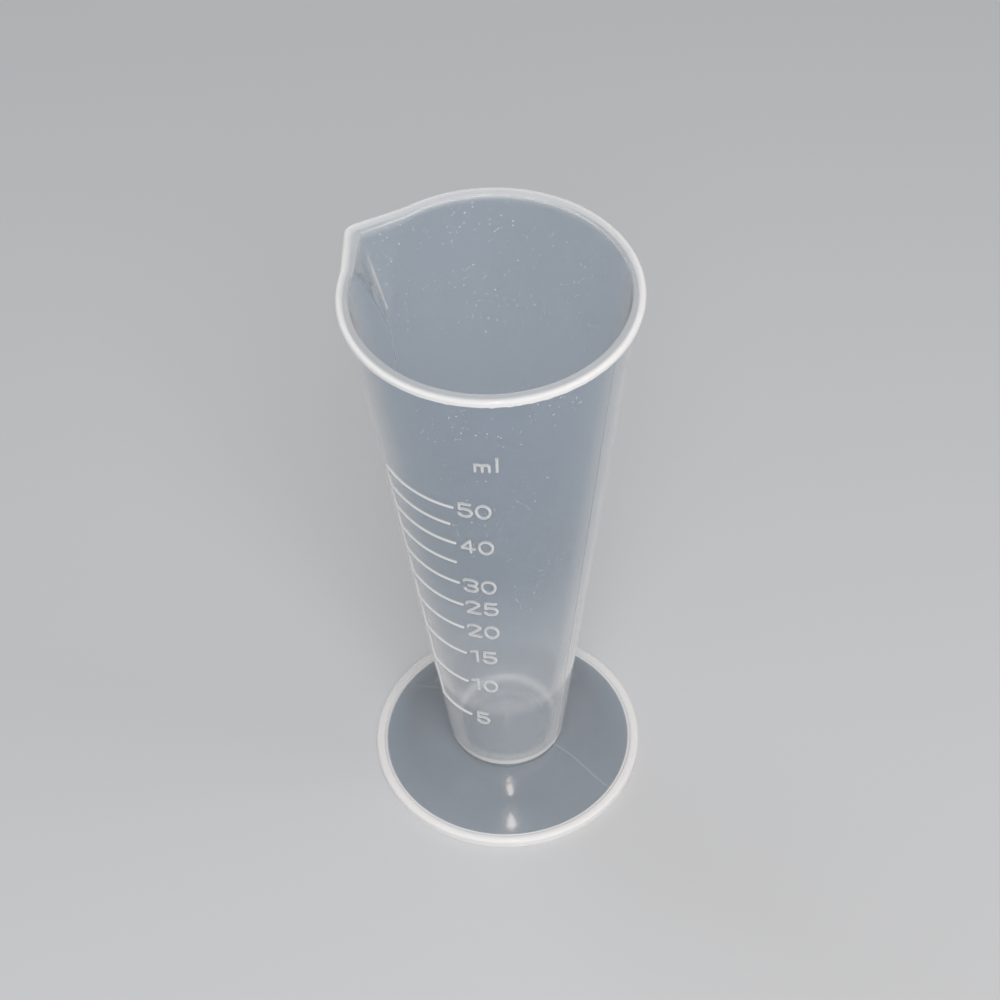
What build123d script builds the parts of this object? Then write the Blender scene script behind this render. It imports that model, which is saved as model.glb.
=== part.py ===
from build123d import *
import math
import os

# A conical plastic measure that holds 50 ml. Millimetres, +Z up.
# The origin is the centre of the foot, on the plane it rests on.
# The pouring spout points towards -X and the scale is read from the -Y side.

# Overall
height = 115.5
rim_radius = 23.75

# Conical cup
wall_angle = 6.44
wall_thickness = 1.05
rim_bead_width = 1.0
rim_bead_height = 1.2
rim_bead_rounding = 0.45
floor_top = 7.35
floor_corner = 0.9
gate_mark_radius = 3.0
gate_mark_depth = 0.2

# Pouring spout
spout_half_angle = 58.1
spout_tip_rounding = 2.5
spout_flank_inset = 0.4
spout_depth_outside = 17.5
groove_half_angle = 61.5
groove_tip = 24.3
groove_depth = 14.1

# Foot
foot_radius = 24.3
foot_edge_width = 1.65
foot_edge_height = 1.75
seat_ring_width = 1.65
web_thickness = 1.3
valley_height = 1.25
dome_shoulder = (16.5, 3.95)

# Seat of the cup in the foot
seam_height = 5.95
spigot_radius = 8.2
spigot_wall = 1.2
spigot_length = 2.0
collar_radius = 9.7

# Scale: raised lines that branch from an upright one, with numerals to their right
mark_relief = 0.3
line_width = 0.48
upright_line_azimuth = -118.7
line_end_azimuths = {
    50: -75.8,
    45: -78.7,
    40: -77.0,
    35: -78.2,
    30: -78.1,
    25: -77.8,
    20: -79.6,
    15: -80.6,
    10: -82.9,
    5: -84.4,
}
numeral_gaps = {50: 0.4, 40: 0.55, 30: 0.5, 25: 0.3, 20: 0.45, 15: 0.3, 10: 0.3, 5: 0.7}
digit_width = 2.65
digit_height = 3.8
digit_pitch = 2.95
pitch_after_one = 2.4
stroke_width = 0.5
unit_mark_height = 98.9
unit_mark_azimuth = -61.2
unit_letter_pitch = 2.3
unit_arch_radius = 0.55

CUBIC_MM_PER_ML = 1000
slope = math.tan(math.radians(wall_angle))
wall_across = wall_thickness / math.cos(math.radians(wall_angle))
wall_top_radius = rim_radius - rim_bead_width


def outer_radius(z):
    """Radius of the cup's outer wall at height z."""
    return wall_top_radius - slope * (height - z)


def inner_radius(z):
    """Radius of the cup's inner wall at height z."""
    return outer_radius(z) - wall_across


def fill_height(millilitres):
    """Height of the liquid surface in the conical cup for a volume."""
    r = inner_radius(floor_top)
    volume = millilitres * CUBIC_MM_PER_ML
    surface_radius = (3 * slope * volume / math.pi + r**3) ** (1 / 3)
    return floor_top + (surface_radius - r) / slope


def turned(outline):
    """Solid of revolution about the upright axis from (radius, height) lines."""
    return revolve(Plane.XZ * make_face(outline), Axis.Z)


def spout_plan(radius, tip_rounding):
    """Face of the rounded V that a circle of this radius is drawn out to, from above."""
    half = math.radians(spout_half_angle)
    sine, cosine = math.sin(half), math.cos(half)
    flank_distance = radius - spout_flank_inset
    tip_centre = -(flank_distance - tip_rounding) / sine
    flank = (-flank_distance * sine, flank_distance * cosine)
    shoulder = (tip_centre - tip_rounding * sine, tip_rounding * cosine)
    back = (flank[0] + flank[1], 0)
    outline = Polyline(mirrored(shoulder), mirrored(flank), back, flank, shoulder)
    outline += ThreePointArc(shoulder, (tip_centre - tip_rounding, 0), mirrored(shoulder))
    return make_face(outline)


def mirrored(point):
    return (point[0], -point[1])


def spout_body():
    """Outside of the spout: its plan drawn down and in until it meets the wall."""
    plan = spout_plan(wall_top_radius, spout_tip_rounding - rim_bead_width)
    tip_reach = -plan.bounding_box().min.X
    run_in = tip_reach - outer_radius(height - spout_depth_outside)
    down = Vector(run_in, 0, -spout_depth_outside)
    return extrude(Pos(0, 0, height) * plan, down.length, dir=down)


def spout_groove():
    """The sharp V groove inside the spout; its back edge stays inside the cavity."""
    half = math.radians(groove_half_angle)
    flank = (-groove_tip * math.sin(half) ** 2, groove_tip * math.sin(half) * math.cos(half))
    outline = Polyline((-groove_tip, 0), flank, mirrored(flank), close=True)
    run_in = groove_tip - inner_radius(height - groove_depth)
    down = Vector(run_in, 0, -groove_depth)
    return extrude(Pos(0, 0, height) * make_face(outline), down.length, dir=down)


def make_cup():
    """Conical wall, floor, rim bead and spout, with a spigot below the floor."""
    body = turned(
        Polyline(
            (0, seam_height),
            (outer_radius(seam_height), seam_height),
            (outer_radius(height), height),
            (0, height),
            close=True,
        )
    )
    body += spout_body()
    rim_plan = Circle(rim_radius) + spout_plan(rim_radius, spout_tip_rounding)
    bead = extrude(rim_plan, rim_bead_height)
    bead = fillet(bead.edges().filter_by(Plane.XY), rim_bead_rounding)
    body += Pos(0, 0, height - rim_bead_height) * bead

    cavity = turned(
        Polyline(
            (0, floor_top),
            (inner_radius(floor_top), floor_top),
            (inner_radius(height), height),
            (0, height),
            close=True,
        )
    )
    floor_edge = cavity.edges().sort_by(Axis.Z)[0]
    cavity = fillet(floor_edge, floor_corner)
    body -= cavity
    body -= spout_groove()

    gate_mark = Cylinder(gate_mark_radius, 2 * gate_mark_depth)
    body -= Pos(0, 0, floor_top) * gate_mark

    spigot_bottom = seam_height - spigot_length
    spigot = Cylinder(spigot_radius, spigot_length, align=(Align.CENTER, Align.CENTER, Align.MIN))
    spigot -= Cylinder(
        spigot_radius - spigot_wall,
        spigot_length,
        align=(Align.CENTER, Align.CENTER, Align.MIN),
    )
    return body + Pos(0, 0, spigot_bottom) * spigot


def make_foot():
    """Domed disc with a thick edge and a collar that holds the cup's spigot."""
    edge_inside = foot_radius - foot_edge_width
    dome = Spline(
        (spigot_radius, seam_height),
        dome_shoulder,
        (edge_inside, valley_height),
        tangents=((1, 0), (1, -0.05)),
    )
    hollow_radius = foot_radius - seat_ring_width
    collar_bottom = seam_height - spigot_length
    underside = Spline(
        (hollow_radius, 0),
        (dome_shoulder[0] - web_thickness / 2, dome_shoulder[1] - web_thickness),
        (collar_radius, seam_height - web_thickness),
        tangents=((-1, 0.25), (-1, 0)),
    )
    rounding = foot_edge_height - valley_height
    edge_start = (edge_inside + rounding, foot_edge_height)
    edge_end = (foot_radius - rounding, foot_edge_height)
    outline = dome
    outline += RadiusArc((edge_inside, valley_height), edge_start, rounding)
    outline += Line(edge_start, edge_end)
    outline += RadiusArc(edge_end, (foot_radius, valley_height), rounding)
    outline += Polyline((foot_radius, valley_height), (foot_radius, 0), (hollow_radius, 0))
    outline += underside
    outline += Polyline(
        (collar_radius, seam_height - web_thickness),
        (collar_radius, collar_bottom),
        (spigot_radius, collar_bottom),
        (spigot_radius, seam_height),
    )
    return turned(outline)


def stroke(path):
    """A drawn path thickened to the width of the raised strokes."""
    return SlotArc(Wire(path.edges()), stroke_width)


def digit_sketch(digit):
    """A plain rounded numeral about its own centre."""
    w = (digit_width - stroke_width) / 2
    h = (digit_height - stroke_width) / 2
    if digit == "0":
        ring = Ellipse(w + stroke_width / 2, h + stroke_width / 2)
        return ring - Ellipse(w - stroke_width / 2, h - stroke_width / 2)
    if digit == "1":
        return stroke(Polyline((-0.7 * w, 0.6 * h), (0.25 * w, h), (0.25 * w, -h)))
    if digit == "2":
        bow = ThreePointArc((-w, 0.45 * h), (0, h), (w, 0.45 * h))
        path = bow + Polyline((w, 0.45 * h), (-w, -h), (w, -h))
        return stroke(path)
    if digit == "3":
        turn = w - h / 2
        bar = stroke(Line((turn, 0), (-0.3 * w, 0)))
        for side in (1, -1):
            hook = ThreePointArc((-w, side * 0.65 * h), (-0.75 * w, side * 0.9 * h), (-0.3 * w, side * h))
            bowl = Line((-0.3 * w, side * h), (turn, side * h))
            bowl += ThreePointArc((turn, side * h), (w, side * h / 2), (turn, 0))
            bar += stroke(hook + bowl)
        return bar
    if digit == "4":
        frame = stroke(Polyline((w, -0.4 * h), (-w, -0.4 * h), (0.4 * w, h)))
        return frame + stroke(Line((0.4 * w, h), (0.4 * w, -h)))
    flag = stroke(Polyline((0.85 * w, h), (-0.75 * w, h), (-0.85 * w, 0.1 * h)))
    bowl = ThreePointArc((-0.85 * w, 0.1 * h), (w, -0.35 * h), (-w, -0.8 * h))
    return flag + stroke(bowl)


def letter_sketch(letter):
    """The letters of the unit mark, standing on the digits' base line."""
    h = (digit_height - stroke_width) / 2
    if letter == "l":
        return stroke(Line((0, h), (0, -h)))
    x_top = 0.05 * h
    arch = unit_arch_radius
    legs = stroke(Line((-2 * arch, x_top), (-2 * arch, -h)))
    for start in (-2 * arch, 0):
        bow = ThreePointArc(
            (start, x_top - arch),
            (start + arch, x_top),
            (start + 2 * arch, x_top - arch),
        )
        legs += stroke(bow + Line((start + 2 * arch, x_top - arch), (start + 2 * arch, -h)))
    return legs


def block_through_wall(sketch, azimuth, z):
    """A flat sketch made into a block through the wall, upright, centred at a place on it."""
    turn = math.radians(azimuth)
    lean = math.radians(wall_angle)
    r = outer_radius(z)
    across = (-math.sin(turn), math.cos(turn), 0)
    outward = (
        math.cos(turn) * math.cos(lean),
        math.sin(turn) * math.cos(lean),
        -math.sin(lean),
    )
    here = Plane((r * math.cos(turn), r * math.sin(turn), z), x_dir=across, z_dir=outward)
    return extrude(here * sketch, 2 * mark_relief, both=True)


def raised_on_wall(sketch, azimuth, z, skin):
    """Raise a flat sketch from the wall."""
    return block_through_wall(sketch, azimuth, z) & skin


def wall_skin():
    """The thin conical layer that raised marks stand in."""
    low, high = seam_height, height - rim_bead_height
    return turned(
        Polyline(
            (outer_radius(low), low),
            (outer_radius(low) + mark_relief, low),
            (outer_radius(high) + mark_relief, high),
            (outer_radius(high), high),
            close=True,
        )
    )


def line_block(millilitres, end_azimuth):
    """A flat sector through the wall, from the upright line round to one line's end."""
    middle = fill_height(millilitres)
    reach = outer_radius(middle)
    section = Pos(reach, middle) * Rectangle(4 * mark_relief, line_width)
    sweep_angle = end_azimuth - upright_line_azimuth
    sector = revolve(Plane.XZ * section, Axis.Z, revolution_arc=sweep_angle)
    return Rot(0, 0, upright_line_azimuth) * sector


def make_graduations(skin):
    """The upright line with every graduation line branching from it."""
    low, high = fill_height(min(line_end_azimuths)), fill_height(max(line_end_azimuths))
    length = (high - low) / math.cos(math.radians(wall_angle)) + line_width
    blocks = block_through_wall(
        Rectangle(line_width, length), upright_line_azimuth, (low + high) / 2
    )
    for millilitres, end_azimuth in line_end_azimuths.items():
        blocks += line_block(millilitres, end_azimuth)
    return blocks & skin


def make_numerals(skin):
    """The numerals right of each numbered line, centred on its height."""
    digits = []
    for millilitres, gap in numeral_gaps.items():
        z = fill_height(millilitres)
        offset = gap + digit_width / 2
        for digit in str(millilitres):
            azimuth = line_end_azimuths[millilitres] + math.degrees(offset / outer_radius(z))
            digits += raised_on_wall(digit_sketch(digit), azimuth, z, skin).solids()
            offset += pitch_after_one if digit == "1" else digit_pitch
    return digits


def make_unit_mark(skin):
    """A plain raised unit mark above the top numeral."""
    letters = []
    for place, letter in enumerate("ml"):
        turn = math.degrees(place * unit_letter_pitch / outer_radius(unit_mark_height))
        azimuth = unit_mark_azimuth + turn
        letters += raised_on_wall(letter_sketch(letter), azimuth, unit_mark_height, skin).solids()
    return letters


skin = wall_skin()
parts = {
    "cup": make_cup(),
    "foot": make_foot(),
    "graduation_lines": make_graduations(skin),
    "graduation_numerals": Compound(make_numerals(skin)),
    "unit_mark": Compound(make_unit_mark(skin)),
}

os.makedirs("parts", exist_ok=True)
for name, shape in parts.items():
    export_step(shape, f"parts/{name}.step")
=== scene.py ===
import math

import bmesh
import bpy
import numpy as np
from mathutils import Matrix, Vector


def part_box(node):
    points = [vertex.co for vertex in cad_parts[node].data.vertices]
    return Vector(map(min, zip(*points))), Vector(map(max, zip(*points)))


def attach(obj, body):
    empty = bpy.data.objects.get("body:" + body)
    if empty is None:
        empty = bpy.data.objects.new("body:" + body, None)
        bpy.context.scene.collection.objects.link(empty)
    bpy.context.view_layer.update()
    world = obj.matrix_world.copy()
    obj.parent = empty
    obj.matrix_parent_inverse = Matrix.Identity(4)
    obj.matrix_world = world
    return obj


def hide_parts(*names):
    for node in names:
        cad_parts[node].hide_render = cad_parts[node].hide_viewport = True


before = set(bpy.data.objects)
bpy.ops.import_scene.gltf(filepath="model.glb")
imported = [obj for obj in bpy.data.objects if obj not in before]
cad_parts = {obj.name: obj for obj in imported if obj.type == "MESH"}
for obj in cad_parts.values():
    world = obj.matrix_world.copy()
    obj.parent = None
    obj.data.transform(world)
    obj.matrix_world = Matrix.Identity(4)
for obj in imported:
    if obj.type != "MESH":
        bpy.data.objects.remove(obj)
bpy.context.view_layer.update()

# A conical 50 ml measure in translucent natural plastic. Lengths are metres; MM turns
# millimetres into them. The spout points towards -X and the scale faces -Y.
MM = 0.001

# ---------------------------------------------------------------- sizes from the CAD frame
CUP_LOW, CUP_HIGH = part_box("cup")
FOOT_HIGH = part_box("foot")[1]
HEIGHT = CUP_HIGH[2]
RIM_RADIUS = CUP_HIGH[0]
SPIGOT_BOTTOM = CUP_LOW[2]
FOOT_RADIUS = FOOT_HIGH[0]
SEAM = FOOT_HIGH[2]

# ---------------------------------------------------------------- the design's own dimensions
WALL_ANGLE = math.radians(6.44)
SLOPE = math.tan(WALL_ANGLE)
WALL_ACROSS = 1.05 * MM / math.cos(WALL_ANGLE)
BEAD_WIDTH = 1.0 * MM
BEAD_HEIGHT = 1.2 * MM
WALL_TOP_RADIUS = RIM_RADIUS - BEAD_WIDTH
FLOOR_TOP = 7.35 * MM
FLOOR_CORNER = 0.9 * MM
GATE_RADIUS = 3.0 * MM
GATE_STEP = 0.12 * MM

SPOUT_HALF_ANGLE = math.radians(58.1)
SPOUT_TIP_ROUNDING = 2.5 * MM
SPOUT_FLANK_INSET = 0.4 * MM
SPOUT_DEPTH = 17.5 * MM
GROOVE_HALF_ANGLE = math.radians(61.5)
GROOVE_TIP = 24.3 * MM
GROOVE_DEPTH = 14.1 * MM

SPIGOT_RADIUS = 8.2 * MM
SPIGOT_WALL = 1.2 * MM
COLLAR_RADIUS = 9.7 * MM
JOINT_GAP = 0.04 * MM
JOINT_EDGE = 0.15 * MM

FOOT_EDGE_WIDTH = 1.65 * MM
FOOT_EDGE_HEIGHT = 1.75 * MM
VALLEY_HEIGHT = 1.25 * MM
WEB = 1.3 * MM
SHOULDER_RADIUS = 16.5 * MM
SHOULDER_HEIGHT = 3.95 * MM

# Slopes of the foot's profile, as height gained per distance out from the axis.
SHOULDER_SLOPE = -0.62
VALLEY_SLOPE = -0.06
HOLLOW_SLOPE = -0.35
SHOULDER_SLOPE_BELOW = -0.58

# The scale. LINE_ENDS holds where each graduation line stops, in degrees round the axis, and
# NUMERAL_GAPS the gap in mm between a numbered line and its numeral.
MARK_RELIEF = 0.3 * MM
MARK_SUNK = 0.06 * MM
STROKE = 0.5 * MM
UPRIGHT_AZIMUTH = math.radians(-118.7)
LINE_ENDS = {
    50: -75.8, 45: -78.7, 40: -77.0, 35: -78.2, 30: -78.1,
    25: -77.8, 20: -79.6, 15: -80.6, 10: -82.9, 5: -84.4,
}
NUMERAL_GAPS = {50: 0.4, 40: 0.55, 30: 0.5, 25: 0.3, 20: 0.45, 15: 0.3, 10: 0.3, 5: 0.7}
LINE_WIDTH = 0.48 * MM
DIGIT_WIDTH = 2.65 * MM
DIGIT_HEIGHT = 3.8 * MM
DIGIT_PITCH = 2.95 * MM
PITCH_AFTER_ONE = 2.4 * MM
UNIT_MARK_HEIGHT = 98.9 * MM
UNIT_MARK_AZIMUTH = math.radians(-61.2)
UNIT_PITCH = 2.3 * MM
UNIT_ARCH = 0.55 * MM
LINE_VOXEL = 0.08 * MM
LETTER_VOXEL = 0.055 * MM

# The parting line's ridge, and the flash under the rim bead on the scale's side.
RIDGE = 0.09 * MM
RIDGE_WIDTH = 0.13 * MM
# FRONT_AZIMUTH also marks the side where painted light whitens the bead and the foot's edge.
FRONT_AZIMUTH = math.radians(-45)
FLASH_SPREAD = math.radians(40)
FLASH_DROP = 0.08 * MM
FLASH_FADE = 0.3 * MM

# Spacing of the mesh rings up the wall, closer where the spout shapes it.
OUTSIDE_SPACING = 3.0 * MM
INSIDE_SPACING = 4.0 * MM
SPOUT_SPACING = 0.5 * MM

# How much of the skin looks white rather than clear, where the plastic is thick. The
# groove's share is a painted highlight, not thick plastic.
BEAD_CLOUD = 0.65
RIM_TOP_CLOUD = 0.28
BASE_CLOUD = 0.85
FLOOR_RING_CLOUD = 0.6
GROOVE_PAINTED_HIGHLIGHT = 1.0
GROOVE_HIGHLIGHT_WIDTH = math.radians(5)
EDGE_CLOUD = 0.6
PARTING_CLOUD = 0.25
EDGE_ON_CLOUD = 0.6

PLASTIC_IOR = 1.49
BODY_TINT = (0.64, 0.72, 0.815, 1)
THICK_TINT = (0.945, 0.94, 0.95, 1)
SCATTER_TINT = (0.82, 0.91, 1.0, 1)
SHADOW_TINT = (0.975, 0.98, 0.985, 1)
MARK_TINT = (0.93, 0.94, 0.96, 1)
MARK_SEEN_THROUGH_TINT = (0.9, 0.93, 0.96, 1)
SHARP_ANGLE = math.radians(50)


def outer_radius(z):
    """Radius of the cup's outer wall at height z, away from the spout."""
    return WALL_TOP_RADIUS - SLOPE * (HEIGHT - z)


def inner_radius(z):
    return outer_radius(z) - WALL_ACROSS


def fill_height(millilitres):
    """Height of the liquid surface for a volume in the conical cup."""
    r = inner_radius(FLOOR_TOP)
    volume = millilitres * 1e-6
    surface_radius = (3 * SLOPE * volume / math.pi + r**3) ** (1 / 3)
    return FLOOR_TOP + (surface_radius - r) / SLOPE


# ---------------------------------------------------------------- plan shapes of the spout
def from_spout(azimuth):
    """Angle away from the spout's own direction, which is -X."""
    return np.abs(np.angle(-np.exp(1j * azimuth)))


def hull_radius(azimuth, circle, tip_centre, tip_rounding, half_angle):
    """Radius of a circle drawn out to a rounded V, along each azimuth."""
    away = from_spout(azimuth)
    flank_line = tip_centre * np.sin(half_angle) + tip_rounding
    just_off = 0.05
    flank = flank_line / np.sin(np.clip(half_angle + away, just_off, math.pi - just_off))
    flank = np.where(away < math.pi / 2 - half_angle, flank, 0.0)
    inside = np.maximum(tip_rounding**2 - (tip_centre * np.sin(away)) ** 2, 0.0)
    rounded = tip_centre * np.cos(away) + np.sqrt(inside)
    shoulder_away = math.atan2(
        tip_rounding * math.cos(half_angle),
        tip_centre + tip_rounding * math.sin(half_angle),
    )
    spout = np.where(away < shoulder_away, rounded, flank)
    return np.maximum(spout, circle)


def spout_centre(radius, rounding):
    """How far out the spout's rounded tip is centred, for a rim of this radius."""
    return (radius - SPOUT_FLANK_INSET - rounding) / math.sin(SPOUT_HALF_ANGLE)


def outer_wall(azimuth, z):
    """Outside of the wall, with the spout running out over its top part."""
    rounding = SPOUT_TIP_ROUNDING - BEAD_WIDTH
    centre_top = spout_centre(WALL_TOP_RADIUS, rounding)
    run_in = centre_top + rounding - outer_radius(HEIGHT - SPOUT_DEPTH)
    below = (HEIGHT - z) / SPOUT_DEPTH
    if below > 1:
        return np.full_like(azimuth, outer_radius(z))
    centre = centre_top - run_in * below
    return hull_radius(azimuth, outer_radius(z), centre, rounding, SPOUT_HALF_ANGLE)


def inner_wall(azimuth, z):
    """Inside of the wall, with the sharp groove of the spout."""
    below = (HEIGHT - z) / GROOVE_DEPTH
    if below > 1:
        return np.full_like(azimuth, inner_radius(z))
    run_in = GROOVE_TIP - inner_radius(HEIGHT - GROOVE_DEPTH)
    tip = GROOVE_TIP - run_in * below
    return hull_radius(azimuth, inner_radius(z), tip, 0.0, GROOVE_HALF_ANGLE)


def bead_outline(azimuth):
    centre = spout_centre(RIM_RADIUS, SPOUT_TIP_ROUNDING)
    return hull_radius(azimuth, RIM_RADIUS, centre, SPOUT_TIP_ROUNDING, SPOUT_HALF_ANGLE)


# ---------------------------------------------------------------- mesh helpers
def azimuths():
    """Directions round the axis, closer together at the two mould parting lines."""
    even = np.linspace(-math.pi, math.pi, 480, endpoint=False)
    fine = np.radians(np.arange(-2.0, 2.01, 0.125))
    both = np.concatenate([even, fine, fine + math.pi])
    both = np.angle(np.exp(1j * both))
    return np.unique(np.round(both, 6))


AZIMUTHS = azimuths()


def ripple(azimuth, seed, lowest, highest, decay):
    """A smooth irregular wave round the axis, about one unit high."""
    draw = np.random.default_rng(seed)
    wave = np.zeros_like(azimuth)
    power = 0.0
    for count in range(lowest, highest + 1):
        size = count ** (-decay)
        wave += size * np.sin(count * azimuth + draw.uniform(0, 2 * math.pi))
        power += size**2 / 2
    return wave / math.sqrt(power)


def parting_ridge(azimuth, radius):
    """The thin witness line that the two mould halves leave at +X and -X."""
    arc = radius * np.minimum(np.abs(azimuth), math.pi - np.abs(azimuth))
    return RIDGE * np.exp(-((arc / RIDGE_WIDTH) ** 2))


def rings_to_mesh(name, rings, close_ends):
    """A closed surface through rings of points, which also hold how cloudy they look, painted light
    included.
    """
    count = len(AZIMUTHS)
    points = [ring for ring, cloud_and_light in rings]
    clouds_and_light = [np.full(count, cloud_and_light) for ring, cloud_and_light in rings]
    vertices = np.concatenate(points)
    faces = []
    column = np.arange(count)
    following = (column + 1) % count
    for row in range(len(points) - 1):
        low, high = row * count, (row + 1) * count
        faces.append(np.stack([low + column, low + following, high + following, high + column], 1))
    if not close_ends:
        low, high = (len(points) - 1) * count, 0
        faces.append(np.stack([low + column, low + following, high + following, high + column], 1))
    quads = np.concatenate(faces).tolist()
    vertices = vertices.tolist()
    if close_ends:
        for ring_start, flip in ((0, True), ((len(points) - 1) * count, False)):
            centre = len(vertices)
            ring = points[0] if ring_start == 0 else points[-1]
            vertices.append([0.0, 0.0, float(np.mean(ring[:, 2]))])
            clouds_and_light.append(np.zeros(1))
            for a, b in zip(column.tolist(), following.tolist()):
                edge = (ring_start + b, ring_start + a) if flip else (ring_start + a, ring_start + b)
                quads.append([edge[0], edge[1], centre])
    mesh = bpy.data.meshes.new(name)
    mesh.from_pydata(vertices, [], quads)
    cloud_and_light = mesh.attributes.new("cloud_and_light", "FLOAT", "POINT")
    cloud_and_light.data.foreach_set("value", np.concatenate(clouds_and_light).astype(np.float32))
    face_outwards(mesh)
    return mesh


def face_outwards(mesh):
    bm = bmesh.new()
    bm.from_mesh(mesh)
    bmesh.ops.recalc_face_normals(bm, faces=bm.faces)
    bm.to_mesh(mesh)
    bm.free()


def ring_at(radius, z, cloud_and_light=0.0):
    """One ring of points round the axis, and how cloudy the plastic looks there, painted light
    included.
    """
    radius = np.broadcast_to(radius, AZIMUTHS.shape)
    z = np.broadcast_to(z, AZIMUTHS.shape)
    points = np.stack([radius * np.cos(AZIMUTHS), radius * np.sin(AZIMUTHS), z], 1)
    return points, cloud_and_light


def add_piece(mesh, material, node):
    """A visible piece, named after its mesh, that stands for one CAD node."""
    piece = bpy.data.objects.new(mesh.name, mesh)
    bpy.context.scene.collection.objects.link(piece)
    mesh.materials.append(material)
    mesh.polygons.foreach_set("use_smooth", [True] * len(mesh.polygons))
    mesh.set_sharp_from_angle(angle=SHARP_ANGLE)
    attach(piece, "root")
    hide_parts(node)


def steps(start, end, spacing):
    return np.linspace(start, end, max(2, int(round(abs(end - start) / spacing)) + 1))


def arc_points(centre, radius, start, end, count):
    """Points of a circular arc in the (radius, height) plane; angles in degrees."""
    turn = np.radians(np.linspace(start, end, count))
    return [(centre[0] + radius * math.cos(t), centre[1] + radius * math.sin(t)) for t in turn]


# ---------------------------------------------------------------- materials
def new_material(name):
    material = bpy.data.materials.new(name)
    material.use_nodes = True
    tree = material.node_tree
    tree.nodes.clear()
    return material, tree.nodes, tree.links


def noise_node(nodes, links, coordinates, scale, detail, roughness=0.5, distortion=0.0):
    node = nodes.new("ShaderNodeTexNoise")
    node.inputs["Scale"].default_value = scale
    node.inputs["Detail"].default_value = detail
    node.inputs["Roughness"].default_value = roughness
    node.inputs["Distortion"].default_value = distortion
    links.new(coordinates, node.inputs["Vector"])
    return node.outputs["Fac"]


def remap(nodes, links, value, low, high, to_low, to_high):
    node = nodes.new("ShaderNodeMapRange")
    node.inputs["From Min"].default_value = low
    node.inputs["From Max"].default_value = high
    node.inputs["To Min"].default_value = to_low
    node.inputs["To Max"].default_value = to_high
    links.new(value, node.inputs["Value"])
    return node.outputs["Result"]


def maths(nodes, links, operation, first, second=None):
    node = nodes.new("ShaderNodeMath")
    node.operation = operation
    for socket, value in zip(node.inputs, (first, second)):
        if value is None:
            continue
        if isinstance(value, (int, float)):
            socket.default_value = value
        else:
            links.new(value, socket)
    return node.outputs["Value"]


def mixed_colour(nodes, links, share, first, second):
    """A blend of two colours; a Mix node keeps its colour sockets at 6, 7 and 2."""
    node = nodes.new("ShaderNodeMix")
    node.data_type = "RGBA"
    node.clamp_factor = True
    links.new(share, node.inputs["Factor"])
    node.inputs[6].default_value = first
    node.inputs[7].default_value = second
    return node.outputs[2]


def mixed_shader(nodes, links, share, first, second):
    """A blend of two shaders, by a number or by another node's value."""
    node = nodes.new("ShaderNodeMixShader")
    if isinstance(share, float):
        node.inputs[0].default_value = share
    else:
        links.new(share, node.inputs[0])
    links.new(first.outputs[0], node.inputs[1])
    links.new(second.outputs[0], node.inputs[2])
    return node


def facing_node(nodes):
    """Zero where the surface faces the viewer, rising to one where it is seen edge on."""
    node = nodes.new("ShaderNodeLayerWeight")
    node.inputs["Blend"].default_value = 0.5
    return node.outputs["Facing"]


def specks(nodes, links, place, scale, stretch, size, share):
    """Scattered flecks: one per cell, kept in only a share of the cells."""
    mapping = nodes.new("ShaderNodeMapping")
    mapping.inputs["Rotation"].default_value = (0.35, 0.2, 0.9)
    mapping.inputs["Scale"].default_value = stretch
    links.new(place, mapping.inputs["Vector"])
    cells = nodes.new("ShaderNodeTexVoronoi")
    cells.inputs["Scale"].default_value = scale
    links.new(mapping.outputs["Vector"], cells.inputs["Vector"])
    pick = nodes.new("ShaderNodeSeparateColor")
    links.new(cells.outputs["Color"], pick.inputs["Color"])
    kept = maths(nodes, links, "GREATER_THAN", pick.outputs["Red"], 1 - share)
    fleck = remap(nodes, links, cells.outputs["Distance"], 0.5 * size, size, 1.0, 0.0)
    return maths(nodes, links, "MULTIPLY", kept, fleck)


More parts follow.
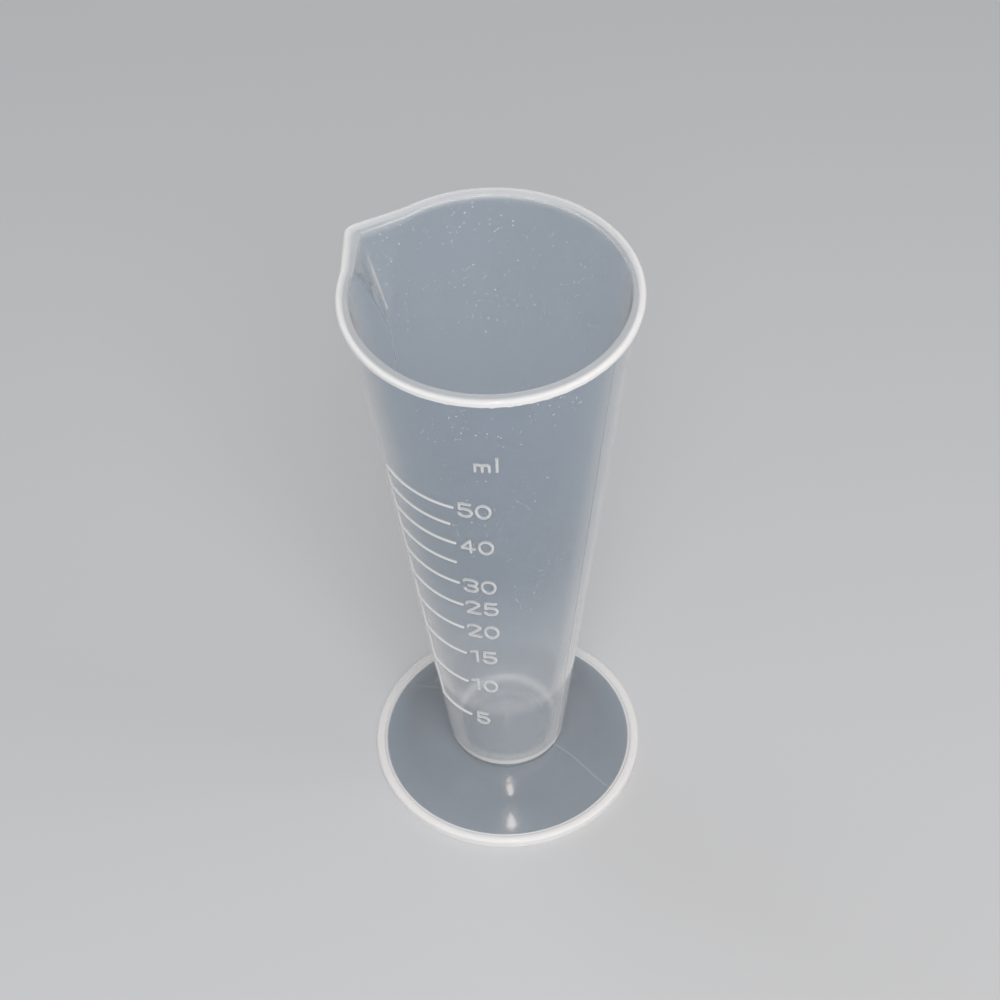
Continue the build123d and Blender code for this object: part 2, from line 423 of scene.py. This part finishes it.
def translucent_plastic(name, veil, scatter, worn):
    """Cloudy polypropylene: a glossy skin over a faintly scattering body.

    The mesh's own cloud values whiten it where the moulding is thick, and also paint
    light: brighter on the scale's side, low on the wall and beside the groove. It
    also whitens where the wall is seen edge on.
    """
    material, nodes, links = new_material(name)
    place = nodes.new("ShaderNodeTexCoord").outputs["Object"]
    haze = noise_node(nodes, links, place, 90, 3, 0.6, 0.4)
    smear = noise_node(nodes, links, place, 420, 4, 0.6)
    grain = noise_node(nodes, links, place, 5200, 2, 0.5)
    cloud_and_light = nodes.new("ShaderNodeAttribute")
    cloud_and_light.attribute_name = "cloud_and_light"

    bump = nodes.new("ShaderNodeBump")
    bump.inputs["Strength"].default_value = 0.12
    bump.inputs["Distance"].default_value = 0.02 * MM
    links.new(smear, bump.inputs["Height"])

    skin = nodes.new("ShaderNodeBsdfPrincipled")
    edge_on = remap(nodes, links, facing_node(nodes), 0.62, 1.0, 0.0, EDGE_ON_CLOUD)
    patch = remap(nodes, links, haze, 0.43, 0.58, 0.0, 0.7)
    dust = specks(nodes, links, place, 1000, (1, 1, 1), 0.155, 0.7)
    scratch = specks(nodes, links, place, 300, (1, 0.9, 0.1), 0.042, 0.4)
    wear = maths(nodes, links, "MULTIPLY", maths(nodes, links, "ADD", dust, scratch), patch)
    open_wall = remap(nodes, links, cloud_and_light.outputs["Fac"], 0.0, 0.25, worn, 0.0)
    wear = maths(nodes, links, "MULTIPLY", wear, open_wall)
    milk_and_light = maths(nodes, links, "ADD", cloud_and_light.outputs["Fac"], edge_on)
    milk_and_light = maths(nodes, links, "ADD", milk_and_light, wear)
    whiten = maths(nodes, links, "MULTIPLY", milk_and_light, 2.2)
    colour = mixed_colour(nodes, links, whiten, BODY_TINT, THICK_TINT)
    links.new(colour, skin.inputs["Base Color"])
    skin.inputs["IOR"].default_value = PLASTIC_IOR
    skin.inputs["Coat Weight"].default_value = 0.6
    skin.inputs["Coat IOR"].default_value = PLASTIC_IOR
    skin.inputs["Coat Roughness"].default_value = 0.12
    links.new(remap(nodes, links, smear, 0.35, 0.7, 0.05, 0.11), skin.inputs["Roughness"])
    links.new(bump.outputs["Normal"], skin.inputs["Normal"])
    white = remap(nodes, links, haze, 0.3, 0.7, 0.8 * veil, 1.2 * veil)
    white = maths(nodes, links, "ADD", white, remap(nodes, links, grain, 0.70, 0.80, 0.0, 0.25))
    white = maths(nodes, links, "ADD", white, milk_and_light)
    links.new(maths(nodes, links, "SUBTRACT", 1.0, white), skin.inputs["Transmission Weight"])

    clear = nodes.new("ShaderNodeBsdfTransparent")
    clear.inputs["Color"].default_value = SHADOW_TINT
    shadow = nodes.new("ShaderNodeLightPath").outputs["Is Shadow Ray"]
    final = mixed_shader(nodes, links, shadow, skin, clear)

    volume = nodes.new("ShaderNodeVolumeScatter")
    volume.inputs["Color"].default_value = SCATTER_TINT
    volume.inputs["Density"].default_value = scatter
    volume.inputs["Anisotropy"].default_value = 0.2
    output = nodes.new("ShaderNodeOutputMaterial")
    links.new(final.outputs[0], output.inputs["Surface"])
    links.new(volume.outputs[0], output.inputs["Volume"])
    return material


def raised_mark_plastic(name, clearness):
    """The same plastic where it stands proud of the wall, whiter and clearest on its crest."""
    material, nodes, links = new_material(name)
    place = nodes.new("ShaderNodeTexCoord").outputs["Object"]
    wear = noise_node(nodes, links, place, 900, 3, 0.6)
    skin = nodes.new("ShaderNodeBsdfPrincipled")
    skin.inputs["Base Color"].default_value = MARK_TINT
    skin.inputs["IOR"].default_value = PLASTIC_IOR
    links.new(remap(nodes, links, wear, 0.3, 0.7, 0.22, 0.42), skin.inputs["Roughness"])
    back = nodes.new("ShaderNodeBsdfTranslucent")
    back.inputs["Color"].default_value = MARK_TINT
    lit = mixed_shader(nodes, links, 0.25, skin, back)
    clear = nodes.new("ShaderNodeBsdfTransparent")
    clear.inputs["Color"].default_value = MARK_SEEN_THROUGH_TINT
    see_through = remap(nodes, links, facing_node(nodes), 0.05, 0.45, clearness, 0.06)
    final = mixed_shader(nodes, links, see_through, lit, clear)
    output = nodes.new("ShaderNodeOutputMaterial")
    links.new(final.outputs[0], output.inputs["Surface"])
    return material


def front_share(least):
    """Painted light: one on the lit scale's side, falling smoothly to the least on the far side."""
    return least + (1 - least) * (1 + np.cos(AZIMUTHS - FRONT_AZIMUTH)) / 2


# ---------------------------------------------------------------- the cup
def base_cloud(z):
    """Whiteness low on the wall: a thick ring at the seam, then a painted glow of gathered light
    that fades upwards.
    """
    up = (z - SEAM) / MM
    return float(np.interp(up, (0, 1.3, 2.0, 40, 60), (BASE_CLOUD, 0.8, 0.28, 0.17, 0)))


def groove_cloud(z):
    """Painted highlight beside the groove, on the side nearer the scale, laid on as whiteness."""
    below = (HEIGHT - z) / GROOVE_DEPTH
    strength = float(np.interp(below, (0.2, 0.45, 0.95, 1.05), (0, 0.8, 1, 0)))
    width = GROOVE_HIGHLIGHT_WIDTH * float(np.interp(below, (0.2, 0.5, 1.0), (0.4, 1, 0.25)))
    beside = np.where(AZIMUTHS < 0, from_spout(AZIMUTHS), math.pi)
    return GROOVE_PAINTED_HIGHLIGHT * strength * np.clip(1.5 * (1 - beside / width), 0, 1)


def cup_rings():
    """Rings from under the floor, up the outside, over the rim and down the inside."""
    rings = []
    spigot_inside = SPIGOT_RADIUS - SPIGOT_WALL
    spigot_outside = SPIGOT_RADIUS - JOINT_GAP
    seat = SEAM + JOINT_GAP
    edge = JOINT_EDGE
    under = [
        (0.5 * spigot_inside, seat),
        (spigot_inside - edge, seat),
        (spigot_inside, seat - edge),
        (spigot_inside, SPIGOT_BOTTOM + edge),
        (spigot_inside + edge, SPIGOT_BOTTOM),
        (spigot_outside - edge, SPIGOT_BOTTOM),
        (spigot_outside, SPIGOT_BOTTOM + edge),
        (spigot_outside, seat),
    ]
    for radius, z in under:
        rings.append(ring_at(radius, z))
    base = outer_radius(seat)
    for radius, z in arc_points((base - 2 * edge, seat + 2 * edge), 2 * edge, -90, 0, 5):
        rings.append(ring_at(radius, z, BASE_CLOUD))

    bead_low = HEIGHT - BEAD_HEIGHT
    spout_foot = HEIGHT - SPOUT_DEPTH - MM
    base_ring = seat + np.array([0.45, 0.9, 1.3, 1.7]) * MM
    plain_wall = steps(seat + 2.2 * MM, spout_foot, OUTSIDE_SPACING)
    spout_wall = steps(spout_foot, bead_low, SPOUT_SPACING)[1:]
    for z in np.concatenate([base_ring, plain_wall, spout_wall]):
        wall = outer_wall(AZIMUTHS, z)
        ridge = parting_ridge(AZIMUTHS, wall)
        # Above the seam ring, the whiteness low on the wall is painted light.
        rings.append(ring_at(wall + ridge, z, base_cloud(z) + PARTING_CLOUD * ridge / RIDGE))

    wall = outer_wall(AZIMUTHS, bead_low)
    reach = bead_outline(AZIMUTHS) - wall
    flash = FLASH_DROP * np.maximum(ripple(AZIMUTHS, seed=11, lowest=30, highest=110, decay=0.3), 0)
    flash *= np.where(np.abs(AZIMUTHS - FRONT_AZIMUTH) < FLASH_SPREAD, 1.0, 0.25)
    # The thick bead's whiteness, made whiter on the scale's side by painted light.
    bead_cloud_and_lit_side = BEAD_CLOUD * front_share(0.6)
    # The bead's section is drawn as a share of its reach across, and in bead widths upwards.
    rounding = 0.42
    lower = arc_points((1 - rounding, bead_low / BEAD_WIDTH + rounding), rounding, -90, 0, 6)
    upper = arc_points((1 - rounding, HEIGHT / BEAD_WIDTH - rounding), rounding, 0, 90, 6)
    for share, z in [(0.1, bead_low / BEAD_WIDTH)] + lower:
        drop = flash * np.clip(1 - (z * BEAD_WIDTH - bead_low) / FLASH_FADE, 0, 1)
        rings.append(ring_at(wall + share * reach + 0.6 * drop, z * BEAD_WIDTH - drop, bead_cloud_and_lit_side))
    for share, z in upper:
        rings.append(ring_at(wall + share * reach, z * BEAD_WIDTH, bead_cloud_and_lit_side))

    lip = inner_wall(AZIMUTHS, HEIGHT)
    for share in (0.35, 0.7):
        middle = (wall + (1 - rounding) * reach) * (1 - share) + lip * share
        rings.append(ring_at(middle, HEIGHT, RIM_TOP_CLOUD))
    soft = 0.25 * MM
    for radius, z in arc_points((soft, HEIGHT - soft), soft, 90, 180, 5):
        rings.append(ring_at(lip + radius, z, RIM_TOP_CLOUD))

    groove_foot = HEIGHT - GROOVE_DEPTH - MM
    groove_wall = steps(HEIGHT - 2 * soft, groove_foot, SPOUT_SPACING)
    plain_wall = steps(groove_foot, FLOOR_TOP + FLOOR_CORNER, INSIDE_SPACING)[1:]
    for z in np.concatenate([groove_wall, plain_wall]):
        near_rim = max(0.0, 1 - (HEIGHT - z) / (1.4 * MM))
        # Whiteness of the thick rim, and a painted highlight beside the groove.
        cloud_and_light = np.maximum(RIM_TOP_CLOUD * near_rim, groove_cloud(z))
        rings.append(ring_at(inner_wall(AZIMUTHS, z), z, cloud_and_light))
    corner_height = FLOOR_TOP + FLOOR_CORNER
    corner_centre = (inner_radius(corner_height) - FLOOR_CORNER, corner_height)
    for radius, z in arc_points(corner_centre, FLOOR_CORNER, 0, -90, 7)[1:]:
        rings.append(ring_at(radius, z, FLOOR_RING_CLOUD))
    for radius, z in (
        (corner_centre[0] - 0.4 * MM, FLOOR_TOP),
        (GATE_RADIUS + 2.0 * MM, FLOOR_TOP),
        (GATE_RADIUS + 0.5 * MM, FLOOR_TOP),
        (GATE_RADIUS + 0.2 * MM, FLOOR_TOP - 0.5 * GATE_STEP),
        (GATE_RADIUS, FLOOR_TOP - GATE_STEP),
        (GATE_RADIUS - 0.4 * MM, FLOOR_TOP - GATE_STEP),
        (0.6 * MM, FLOOR_TOP - GATE_STEP),
        (0.4 * MM, FLOOR_TOP),
    ):
        rings.append(ring_at(radius, z))
    return rings


# ---------------------------------------------------------------- the foot
def hermite(start, start_slope, end, end_slope, count):
    """A smooth curve z(r) between two points with given slopes."""
    t = np.linspace(0, 1, count)
    span = end[0] - start[0]
    z = (
        (2 * t**3 - 3 * t**2 + 1) * start[1]
        + (t**3 - 2 * t**2 + t) * span * start_slope
        + (3 * t**2 - 2 * t**3) * end[1]
        + (t**3 - t**2) * span * end_slope
    )
    return list(zip(start[0] + t * span, z))


def foot_rings():
    """Rings from the top of the collar's bore, over the dome and edge, and back below."""
    bore = SPIGOT_RADIUS + JOINT_GAP
    edge_inside = FOOT_RADIUS - FOOT_EDGE_WIDTH
    shoulder = (SHOULDER_RADIUS, SHOULDER_HEIGHT)
    valley = (edge_inside, VALLEY_HEIGHT)
    rounding = FOOT_EDGE_HEIGHT - VALLEY_HEIGHT
    top = hermite((bore, SEAM), 0.0, shoulder, SHOULDER_SLOPE, 26)
    top += hermite(shoulder, SHOULDER_SLOPE, valley, VALLEY_SLOPE, 26)[1:]
    inner_turn = (edge_inside + rounding, FOOT_EDGE_HEIGHT - rounding)
    outer_turn = (FOOT_RADIUS - rounding, FOOT_EDGE_HEIGHT - rounding)
    top += arc_points(inner_turn, rounding, 180, 90, 7)[1:]
    top += arc_points(outer_turn, rounding, 90, 0, 7)
    base = 0.25 * MM
    top += [(FOOT_RADIUS, 0.8 * MM)]
    top += arc_points((FOOT_RADIUS - base, base), base, 0, -90, 4)
    hollow = edge_inside
    below = (SHOULDER_RADIUS - 0.5 * WEB, SHOULDER_HEIGHT - WEB)
    under = [(hollow + base, 0.0), (hollow, 0.1 * MM)]
    collar_top = (COLLAR_RADIUS + 0.3 * MM, SEAM - WEB)
    under += hermite((hollow, 0.1 * MM), HOLLOW_SLOPE, below, SHOULDER_SLOPE_BELOW, 22)[1:]
    under += hermite(below, SHOULDER_SLOPE_BELOW, collar_top, 0.0, 22)[1:]
    collar = [
        (COLLAR_RADIUS, SEAM - WEB - 0.3 * MM),
        (COLLAR_RADIUS, SPIGOT_BOTTOM + JOINT_EDGE),
        (COLLAR_RADIUS - JOINT_EDGE, SPIGOT_BOTTOM),
        (bore + 0.1 * MM, SPIGOT_BOTTOM),
        (bore, SPIGOT_BOTTOM + 0.1 * MM),
        (bore, SEAM - 0.1 * MM),
    ]
    # The thick foot edge's whiteness, made whiter on the scale's side by painted light.
    edge_cloud_and_lit_side = EDGE_CLOUD * front_share(0.6)
    rings = []
    for radius, z in top:
        on_dome = COLLAR_RADIUS < radius < edge_inside
        ridge = parting_ridge(AZIMUTHS, radius) * on_dome
        cloud_and_light = edge_cloud_and_lit_side
        if radius < edge_inside - 0.4 * MM:
            cloud_and_light = 0.5 * PARTING_CLOUD * ridge / RIDGE
        rings.append(ring_at(radius, z + 0.3 * ridge, cloud_and_light))
    for radius, z in under + collar:
        rings.append(ring_at(radius, z, edge_cloud_and_lit_side * (radius > hollow)))
    return rings


# ---------------------------------------------------------------- raised marks
def polyline(*points):
    return [np.array(points, float)]


def arc(centre, across, up, start, end, count=28):
    turn = np.radians(np.linspace(start, end, count))
    return np.stack([centre[0] + across * np.cos(turn), centre[1] + up * np.sin(turn)], 1)


def digit_paths(digit):
    """Centre lines of a plain rounded numeral, about its own centre."""
    w = (DIGIT_WIDTH - STROKE) / 2
    h = (DIGIT_HEIGHT - STROKE) / 2
    if digit == "0":
        return [arc((0, 0), w, h, 0, 360, 56)]
    if digit == "1":
        return polyline((-0.7 * w, 0.6 * h), (0.25 * w, h), (0.25 * w, -h))
    if digit == "2":
        bow = arc((0, 0.45 * h), w, 0.55 * h, 180, 0)
        return [np.vstack([bow, [(-w, -h), (w, -h)]])]
    if digit == "3":
        turn = w - h / 2
        hook = arc((-0.3 * w, 0.6 * h), 0.7 * w, 0.4 * h, 175, 90, 12)
        upper = np.vstack([hook, arc((turn, h / 2), h / 2, h / 2, 90, -90)])
        lower = upper * (1, -1)
        return [upper, lower] + polyline((turn, 0), (-0.3 * w, 0))
    if digit == "4":
        frame_line = polyline((w, -0.4 * h), (-w, -0.4 * h), (0.4 * w, h))
        return frame_line + polyline((0.4 * w, h), (0.4 * w, -h))
    flag = polyline((0.85 * w, h), (-0.75 * w, h), (-0.85 * w, 0.1 * h))
    bowl = arc((0, -0.4 * h), w, 0.62 * h, 128, -158)
    return flag + [np.vstack([[(-0.85 * w, 0.1 * h)], bowl])]


def letter_paths(letter):
    h = (DIGIT_HEIGHT - STROKE) / 2
    if letter == "l":
        return polyline((0, h), (0, -h))
    top = 0.05 * h
    paths = polyline((-2 * UNIT_ARCH, top), (-2 * UNIT_ARCH, -h))
    for start in (-2 * UNIT_ARCH, 0):
        bow = arc((start + UNIT_ARCH, top - UNIT_ARCH), UNIT_ARCH, UNIT_ARCH, 180, 0)
        paths.append(np.vstack([bow, [(start + 2 * UNIT_ARCH, -h)]]))
    return paths


def resampled(path, spacing):
    """The same path with points at even spacing."""
    lengths = np.r_[0, np.cumsum(np.linalg.norm(np.diff(path, axis=0), axis=1))]
    count = max(2, int(round(lengths[-1] / spacing)) + 1)
    at = np.linspace(0, lengths[-1], count)
    return np.stack([np.interp(at, lengths, path[:, k]) for k in (0, 1)], 1)


def add_bead(bm, path, width, sides=14):
    """A round-ended bead along a flat path, as a closed tube in (across, up, off-wall)."""
    radius = width / 2
    path = resampled(path, 0.16 * MM)
    closed = np.linalg.norm(path[0] - path[-1]) < 1e-7
    if closed:
        path = path[:-1]
        along = np.roll(path, -1, 0) - np.roll(path, 1, 0)
    else:
        along = np.gradient(path, axis=0)
    along /= np.linalg.norm(along, axis=1)[:, None]
    side = np.stack([-along[:, 1], along[:, 0]], 1)
    sections = [(p, s, 1.0) for p, s in zip(path, side)]
    if not closed:
        cap = [math.radians(a) for a in (72, 54, 36, 18)]
        head = [(path[0] - along[0] * radius * math.sin(a), side[0], math.cos(a)) for a in cap]
        tail = [(path[-1] + along[-1] * radius * math.sin(a), side[-1], math.cos(a)) for a in cap]
        sections = head + sections + tail[::-1]
    turn = np.linspace(0, 2 * math.pi, sides, endpoint=False)
    rings = []
    for point, across, size in sections:
        ring = []
        for t in turn:
            flat = point + across * radius * size * math.cos(t)
            ring.append(bm.verts.new((flat[0], flat[1], radius * size * math.sin(t))))
        rings.append(ring)
    pairs = list(zip(rings, rings[1:]))
    if closed:
        pairs.append((rings[-1], rings[0]))
    for first, second in pairs:
        for k in range(sides):
            following = (k + 1) % sides
            bm.faces.new((first[k], first[following], second[following], second[k]))
    if not closed:
        bm.faces.new(rings[0][::-1])
        bm.faces.new(rings[-1])


def fuse(bm, voxel):
    """Join overlapping beads into one closed skin."""
    mesh = bpy.data.meshes.new("beads")
    bmesh.ops.recalc_face_normals(bm, faces=bm.faces)
    bm.to_mesh(mesh)
    bm.free()
    holder = bpy.data.objects.new("beads", mesh)
    bpy.context.scene.collection.objects.link(holder)
    remesh = holder.modifiers.new("fuse", "REMESH")
    remesh.mode = "VOXEL"
    remesh.voxel_size = voxel
    smooth = holder.modifiers.new("soften", "SMOOTH")
    smooth.factor = 0.5
    smooth.iterations = 3
    seen = holder.evaluated_get(bpy.context.evaluated_depsgraph_get())
    result = bpy.data.meshes.new_from_object(seen)
    points = np.empty(len(result.vertices) * 3)
    result.vertices.foreach_get("co", points)
    faces = [list(p.vertices) for p in result.polygons]
    bpy.data.objects.remove(holder)
    bpy.data.meshes.remove(mesh)
    bpy.data.meshes.remove(result)
    return points.reshape(-1, 3), faces


def onto_wall(points, azimuth, z, width):
    """Wrap flat mark points onto the cone: across the wall, up it, and out from it."""
    lift = points[:, 2] / (width / 2)
    off = np.where(lift > 0, lift * MARK_RELIEF, lift * MARK_SUNK)
    height = z + points[:, 1] * math.cos(WALL_ANGLE)
    radius = outer_radius(height)
    turn = azimuth + points[:, 0] / radius
    out = radius + off * math.cos(WALL_ANGLE)
    return np.stack(
        [out * np.cos(turn), out * np.sin(turn), height - off * math.sin(WALL_ANGLE)], 1
    )


def marks_mesh(name, marks, voxel):
    """One mesh from placed marks, each a list of paths, a width, an azimuth and a height."""
    vertices, faces = [], []
    for paths, width, azimuth, z in marks:
        bm = bmesh.new()
        for path in paths:
            add_bead(bm, path, width)
        points, polygons = fuse(bm, voxel)
        start = len(vertices)
        vertices += onto_wall(points, azimuth, z, width).tolist()
        faces += [[start + v for v in polygon] for polygon in polygons]
    mesh = bpy.data.meshes.new(name)
    mesh.from_pydata(vertices, [], faces)
    face_outwards(mesh)
    return mesh


def line_marks():
    """The upright line and the graduation lines that branch from it, as one mark."""
    heights = [fill_height(millilitres) for millilitres in LINE_ENDS]
    middle = (min(heights) + max(heights)) / 2
    reach = (max(heights) - middle) / math.cos(WALL_ANGLE)
    paths = polyline((0, -reach), (0, reach))
    for end, z in zip(LINE_ENDS.values(), heights):
        length = (math.radians(end) - UPRIGHT_AZIMUTH) * outer_radius(z) - LINE_WIDTH / 2
        up = (z - middle) / math.cos(WALL_ANGLE)
        paths += polyline((0, up), (length, up))
    return [(paths, LINE_WIDTH, UPRIGHT_AZIMUTH, middle)]


def numeral_marks():
    marks = []
    for millilitres, gap in NUMERAL_GAPS.items():
        z = fill_height(millilitres)
        offset = gap * MM + DIGIT_WIDTH / 2
        for digit in str(millilitres):
            azimuth = math.radians(LINE_ENDS[millilitres]) + offset / outer_radius(z)
            marks.append((digit_paths(digit), STROKE, azimuth, z))
            offset += PITCH_AFTER_ONE if digit == "1" else DIGIT_PITCH
    return marks


def unit_marks():
    marks = []
    for place, letter in enumerate("ml"):
        azimuth = UNIT_MARK_AZIMUTH + place * UNIT_PITCH / outer_radius(UNIT_MARK_HEIGHT)
        marks.append((letter_paths(letter), STROKE, azimuth, UNIT_MARK_HEIGHT))
    return marks


# ---------------------------------------------------------------- floor, light and camera
def make_floor():
    """A wide sheet of paper, a hair below the foot so that the two don't share a plane."""
    mesh = bpy.data.meshes.new("studio_floor")
    reach = 3.0
    just_below = -0.02 * MM
    sides = ((-1, -1), (1, -1), (1, 1), (-1, 1))
    corners = [(x * reach, y * reach, just_below) for x, y in sides]
    mesh.from_pydata(corners, [], [(0, 1, 2, 3)])
    floor = bpy.data.objects.new("studio_floor", mesh)
    bpy.context.scene.collection.objects.link(floor)
    material, nodes, links = new_material("floor_paper")
    paper = nodes.new("ShaderNodeBsdfPrincipled")
    paper.inputs["Base Color"].default_value = (0.58, 0.59, 0.61, 1)
    paper.inputs["Roughness"].default_value = 0.75
    output = nodes.new("ShaderNodeOutputMaterial")
    links.new(paper.outputs[0], output.inputs["Surface"])
    mesh.materials.append(material)


def towards(azimuth, elevation):
    """Unit vector from the object in a direction given in degrees."""
    turn, rise = math.radians(azimuth), math.radians(elevation)
    return Vector(
        (math.cos(rise) * math.cos(turn), math.cos(rise) * math.sin(turn), math.sin(rise))
    )


def add_light(name, azimuth, elevation, distance, size, power, colour):
    """A light of (width, height) that faces the middle of the cup and isn't mirrored in it."""
    target = Vector((0, 0, HEIGHT / 2))
    away = towards(azimuth, elevation)
    light = bpy.data.lights.new(name, "AREA")
    light.shape = "RECTANGLE"
    light.size, light.size_y = size
    light.energy = power
    light.color = colour
    holder = bpy.data.objects.new(name, light)
    holder.location = target + away * distance
    holder.rotation_euler = (-away).to_track_quat("-Z", "Y").to_euler()
    holder.visible_glossy = False
    holder.visible_transmission = False
    bpy.context.scene.collection.objects.link(holder)
    return holder


def make_lights():
    """Three soft boxes, and a small warm lamp that shows only as a highlight."""
    add_light("key_softbox", -47, 48, 0.9, (0.5, 0.5), 7.5, (1.0, 0.97, 0.93))
    add_light("left_softbox", 173, 45, 1.1, (0.5, 0.7), 2.0, (0.93, 0.97, 1.0))
    add_light("right_softbox", 23, 40, 1.1, (0.4, 0.7), 1.8, (1.0, 0.98, 0.96))
    glint = add_light("edge_glint", -53.8, 77, 0.75, (0.05, 0.36), 0.3, (1.0, 0.88, 0.77))
    glint.data.shape = "ELLIPSE"
    glint.visible_diffuse = False
    glint.visible_glossy = True


CAMERA_AZIMUTH = -54.8
CAMERA_ELEVATION = 53.99
CAMERA_DISTANCE = 0.4757
CAMERA_TILT = 5.355
CAMERA_ROLL = -2.21
CAMERA_LENS = 91.5
CAMERA_SHIFT = 0.0015


def make_camera():
    """The camera looks down at the cup from the scale's right-hand side."""
    away = towards(CAMERA_AZIMUTH, CAMERA_ELEVATION)
    turn = math.radians(CAMERA_AZIMUTH)
    across = Vector((-math.sin(turn), math.cos(turn), 0))
    upward = across.cross(-away)
    forward = (-away + math.tan(math.radians(CAMERA_TILT)) * upward).normalized()
    right = forward.cross(upward).normalized()
    up = right.cross(forward)
    roll = math.radians(CAMERA_ROLL)
    rolled_right = math.cos(roll) * right + math.sin(roll) * up
    rolled_up = math.cos(roll) * up - math.sin(roll) * right
    turned = Matrix((rolled_right, rolled_up, -forward)).transposed()
    camera = bpy.data.cameras.new("camera")
    camera.sensor_width = 36
    camera.lens = CAMERA_LENS
    camera.shift_x = CAMERA_SHIFT
    camera.clip_start = 0.01
    holder = bpy.data.objects.new("camera", camera)
    holder.matrix_world = Matrix.Translation(away * CAMERA_DISTANCE) @ turned.to_4x4()
    bpy.context.scene.collection.objects.link(holder)
    bpy.context.scene.camera = holder


def make_world():
    world = bpy.data.worlds.new("studio")
    bpy.context.scene.world = world
    world.use_nodes = True
    background = world.node_tree.nodes["Background"]
    background.inputs["Color"].default_value = (0.93, 0.96, 1.0, 1)
    background.inputs["Strength"].default_value = 0.2


def light_paths():
    """Let light pass through the many layers of clear plastic, without sharp caustics."""
    cycles = bpy.context.scene.cycles
    cycles.max_bounces = 20
    cycles.transmission_bounces = 16
    cycles.transparent_max_bounces = 24
    cycles.volume_bounces = 2
    cycles.caustics_refractive = False
    cycles.caustics_reflective = False


# ---------------------------------------------------------------- build
cup_plastic = translucent_plastic("cup_polypropylene", veil=0.04, scatter=170, worn=1.0)
foot_plastic = translucent_plastic("foot_polypropylene", veil=0.04, scatter=170, worn=0.3)
line_plastic = raised_mark_plastic("line_polypropylene", clearness=0.15)
numeral_plastic = raised_mark_plastic("numeral_polypropylene", clearness=0.5)

cup = rings_to_mesh("cup_shell", cup_rings(), close_ends=True)
foot = rings_to_mesh("domed_foot", foot_rings(), close_ends=False)
lines = marks_mesh("raised_lines", line_marks(), LINE_VOXEL)
numerals = marks_mesh("raised_numerals", numeral_marks(), LETTER_VOXEL)
unit = marks_mesh("raised_unit_mark", unit_marks(), LETTER_VOXEL)

add_piece(cup, cup_plastic, "cup")
add_piece(foot, foot_plastic, "foot")
add_piece(lines, line_plastic, "graduation_lines")
add_piece(numerals, numeral_plastic, "graduation_numerals")
add_piece(unit, numeral_plastic, "unit_mark")

make_floor()
make_world()
make_lights()
make_camera()
light_paths()
bpy.context.scene.view_settings.view_transform = "Standard"
